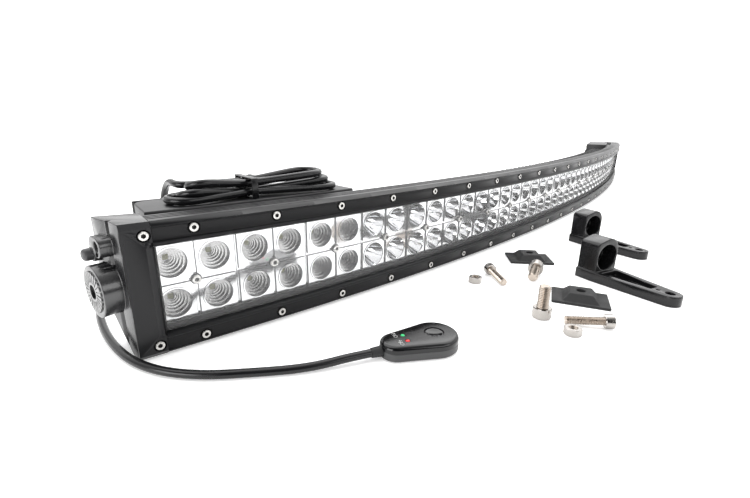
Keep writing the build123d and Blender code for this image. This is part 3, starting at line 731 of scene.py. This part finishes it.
def socket_screw(name, head, height, socket, shank, length, pitch=0.0, steps=24):
    """Screw on +Z: head from 0 to height, shank down to -length; pitch cuts the thread."""
    rim = socket * 1.1
    profile = [(rim, height), (head * 0.86, height), (head * 0.96, height * 0.95), (head, height * 0.84),
               (head, height * 0.06), (head * 0.95, 0.0), (shank, 0.0)]
    if pitch:
        turns = int((length - 0.5 * pitch) / pitch)
        for k in range(turns):
            profile.append((shank * 0.84, -(k + 0.5) * pitch))
            profile.append((shank, -(k + 1) * pitch))
    profile += [(shank * 0.8, -length), (0.0, -length)]
    turned = lathe(name, profile, steps)
    bpy.ops.mesh.primitive_circle_add(vertices=6, radius=socket, location=(0, 0, height))
    hexagon = bpy.context.object
    bpy.ops.object.transform_apply(location=True)
    bpy.ops.object.mode_set(mode="EDIT")
    bpy.ops.mesh.select_mode(type="EDGE")
    bpy.ops.mesh.select_all(action="SELECT")
    bpy.ops.mesh.extrude_region_move(TRANSFORM_OT_translate={"value": (0, 0, -0.55 * height)})
    bpy.ops.mesh.edge_face_add()
    bpy.ops.object.mode_set(mode="OBJECT")
    made = join([turned, hexagon], name)
    bridge_where(made, lambda point: True)
    bpy.ops.object.mode_set(mode="EDIT")
    bpy.ops.mesh.select_all(action="SELECT")
    bpy.ops.mesh.normals_make_consistent(inside=False)
    bpy.ops.object.mode_set(mode="OBJECT")
    bpy.ops.object.shade_smooth_by_angle(angle=math.radians(32))
    for material in (bolt_steel if pitch else stainless, socket_painted_shade, thread_steel):
        made.data.materials.append(material)
    # Faces inside the socket get the painted shade, thread faces get the thread steel, and the rest gets
    # the head's steel.
    for face in made.data.polygons:
        middle = face.center
        inside = math.hypot(middle.x, middle.y) < socket and middle.z < height - 0.00001 and middle.z > 0
        face.material_index = 1 if inside else 2 if middle.z < -0.00001 and pitch else 0
    return made


def place_copy(source, name, matrix):
    """Copy of a modelled piece, carried to its place and applied."""
    one = source.copy()
    one.data = source.data.copy()
    one.name = name
    bpy.context.collection.objects.link(one)
    one.matrix_world = matrix
    bpy.ops.object.select_all(action="DESELECT")
    bpy.context.view_layer.objects.active = one
    one.select_set(True)
    bpy.ops.object.transform_apply()
    return one


def screw_set(source, name, node, places):
    """All copies of one screw as one piece that stands for a CAD node."""
    made = join([place_copy(source, name, place) for place in places], name)
    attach(made, "light_bar")
    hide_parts(node)
    bpy.data.objects.remove(source)
    return made


def seat(along, depth, height, offset=0.0, outwards=1):
    """Frame on the bar for a screw whose head stands out at depth; outwards -1 faces the back."""
    carried = station(along) @ Matrix.Translation((offset, depth - plate_front_offset, height))
    return carried @ Matrix.Rotation(outwards * math.pi / 2, 4, "X")


stations = [(k - (module_count - 1) / 2) * module_pitch for k in range(module_count)]
half_run = 0.606
rail_rise, end_rise, end_offset = 0.0336, 0.0325, 0.004
rail_screw = socket_screw("rail_screw", 0.0026, 0.0021, 0.0014, 0.0015, 0.0102)
screw_set(rail_screw, "rail_screws", "bezel_screws",
          [seat(along, 0.0018, middle_height + side * rail_rise) for along in stations for side in (-1, 1)])
end_screw = socket_screw("end_screw", 0.0026, 0.0021, 0.0014, 0.0015, 0.0104)
screw_set(end_screw, "end_screws", "end_bezel_screws",
          [seat(end * half_run, 0.0016, middle_height + side * end_rise, end * end_offset)
           for end in (-1, 1) for side in (-1, 1)])
cup_screw = socket_screw("cup_screw", 0.0027, 0.0022, 0.0014, 0.0014, 0.0184, steps=18)
screw_set(cup_screw, "cup_screws", "reflector_screws",
          [seat(along, reflector_depth, middle_height) for along in stations])
cover_screw = socket_screw("cover_screw", 0.0028, 0.00197, 0.0013, 0.00125, 0.0140, steps=18)
cover_stations, cover_heights = (0.456, 0.5915), (0.006, 0.074)
screw_set(cover_screw, "cover_screws", "driver_cover_screws",
          [seat(end * along, 0.06903, height, outwards=-1)
           for end in (-1, 1) for along in cover_stations for height in cover_heights])


# --- loose bolts: two M6 for the feet with their nuts, two M8 for the bosses -------------
# Cold-headed stainless with rolled threads; the head's side is knurled.
def loose_bolt(node, head, diameter, length, socket, pitch, place):
    """Bolt lying or standing where its CAD node is."""
    bolt = socket_screw(node + "_turned", head, diameter, socket, diameter / 2, length, pitch, steps=48)
    knurl = bolt.data
    for vertex in knurl.vertices:
        reach = math.hypot(vertex.co.x, vertex.co.y)
        if abs(reach - head) < 0.00001 and round(math.atan2(vertex.co.y, vertex.co.x) / math.tau * 48) % 2:
            vertex.co.x *= 0.965
            vertex.co.y *= 0.965
    laid = place_copy(bolt, node + "_threaded", place)
    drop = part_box(node)[0].z - min(vertex.co.z for vertex in laid.data.vertices)
    laid.data.transform(Matrix.Translation((0, 0, drop)))
    bpy.data.objects.remove(bolt)
    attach(laid, node + "_piece")
    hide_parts(node)


def lying(head, diameter, length, x, y, heading):
    """Place of a bolt that rests on its head's rim and its tip, its middle at x, y."""
    tilt = math.atan2(head - diameter / 2, length)
    along = Matrix.Rotation(math.radians(heading), 4, "Z") @ Matrix.Rotation(tilt - math.pi / 2, 4, "Y")
    return Matrix.Translation((x, y, 0)) @ along @ Matrix.Translation((0, 0, (length - diameter) / 2))


m6 = dict(head=0.0050, diameter=0.006, length=0.025)
m8 = dict(head=0.0065, diameter=0.008, length=0.016)
upside_down = Matrix.Translation((-0.4085, -0.0953, 0.008)) @ Matrix.Rotation(math.pi, 4, "X")
m6_socket, m6_pitch = 0.0028, 0.001
m8_socket, m8_pitch = 0.0034, 0.00125
foot_bolt_places = {
    "foot_bolt_1": lying(**m6, x=-0.361, y=-0.040, heading=-130.4),
    "foot_bolt_2": lying(**m6, x=-0.4015, y=-0.1245, heading=116.9),
}
boss_bolt_places = {
    "boss_bolt_1": lying(**m8, x=-0.3335, y=-0.0635, heading=-167.4),
    "boss_bolt_2": upside_down,
}
for node, place in foot_bolt_places.items():
    loose_bolt(node, **m6, socket=m6_socket, pitch=m6_pitch, place=place)
for node, place in boss_bolt_places.items():
    loose_bolt(node, **m8, socket=m8_socket, pitch=m8_pitch, place=place)


def cut(piece, tool, operation):
    """Boolean of two pieces; the tool is used up."""
    bpy.ops.object.select_all(action="DESELECT")
    bpy.context.view_layer.objects.active = piece
    piece.select_set(True)
    step = piece.modifiers.new("cut", "BOOLEAN")
    step.operation, step.object, step.solver = operation, tool, "EXACT"
    bpy.ops.object.modifier_apply(modifier="cut")
    bpy.data.objects.remove(tool)


def foot_nut(node, x, y, heading):
    """Hexagon nut with chamfered corners and a cut thread."""
    nut_radius, nut_height, thread, pitch = 0.00577, 0.005, 0.003, 0.001
    bpy.ops.object.select_all(action="DESELECT")
    bpy.ops.mesh.primitive_cylinder_add(vertices=6, radius=nut_radius, depth=nut_height,
                                        location=(0, 0, nut_height / 2), rotation=(0, 0, math.pi / 6))
    nut = bpy.context.object
    bpy.ops.object.transform_apply()
    barrel = lathe("barrel", [(0, 0), (0.0050, 0), (0.0060, 0.0006), (0.0060, nut_height - 0.0006),
                              (0.0050, nut_height), (0, nut_height)], 36)
    cut(nut, barrel, "INTERSECT")
    core = [(0, -0.001), (thread, -0.001), (thread, 0.0)]
    for k in range(5):
        core += [(thread * 0.86, (k + 0.5) * pitch), (thread, (k + 1) * pitch)]
    core += [(thread, nut_height + 0.001), (0, nut_height + 0.001)]
    cut(nut, lathe("core", core, 24), "DIFFERENCE")
    nut.data.materials.clear()
    for material in (bolt_steel, thread_steel):
        nut.data.materials.append(material)
    for face in nut.data.polygons:
        face.material_index = 1 if math.hypot(face.center.x, face.center.y) < thread else 0
    place = Matrix.Translation((x, y, 0)) @ Matrix.Rotation(math.radians(heading), 4, "Z")
    laid = place_copy(nut, node + "_threaded", place)
    bpy.ops.object.shade_smooth_by_angle(angle=math.radians(25))
    bpy.data.objects.remove(nut)
    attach(laid, node + "_piece")
    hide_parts(node)


foot_nut("foot_nut_1", -0.3784, -0.0291, 12)
foot_nut("foot_nut_2", -0.4203, -0.1195, 40)
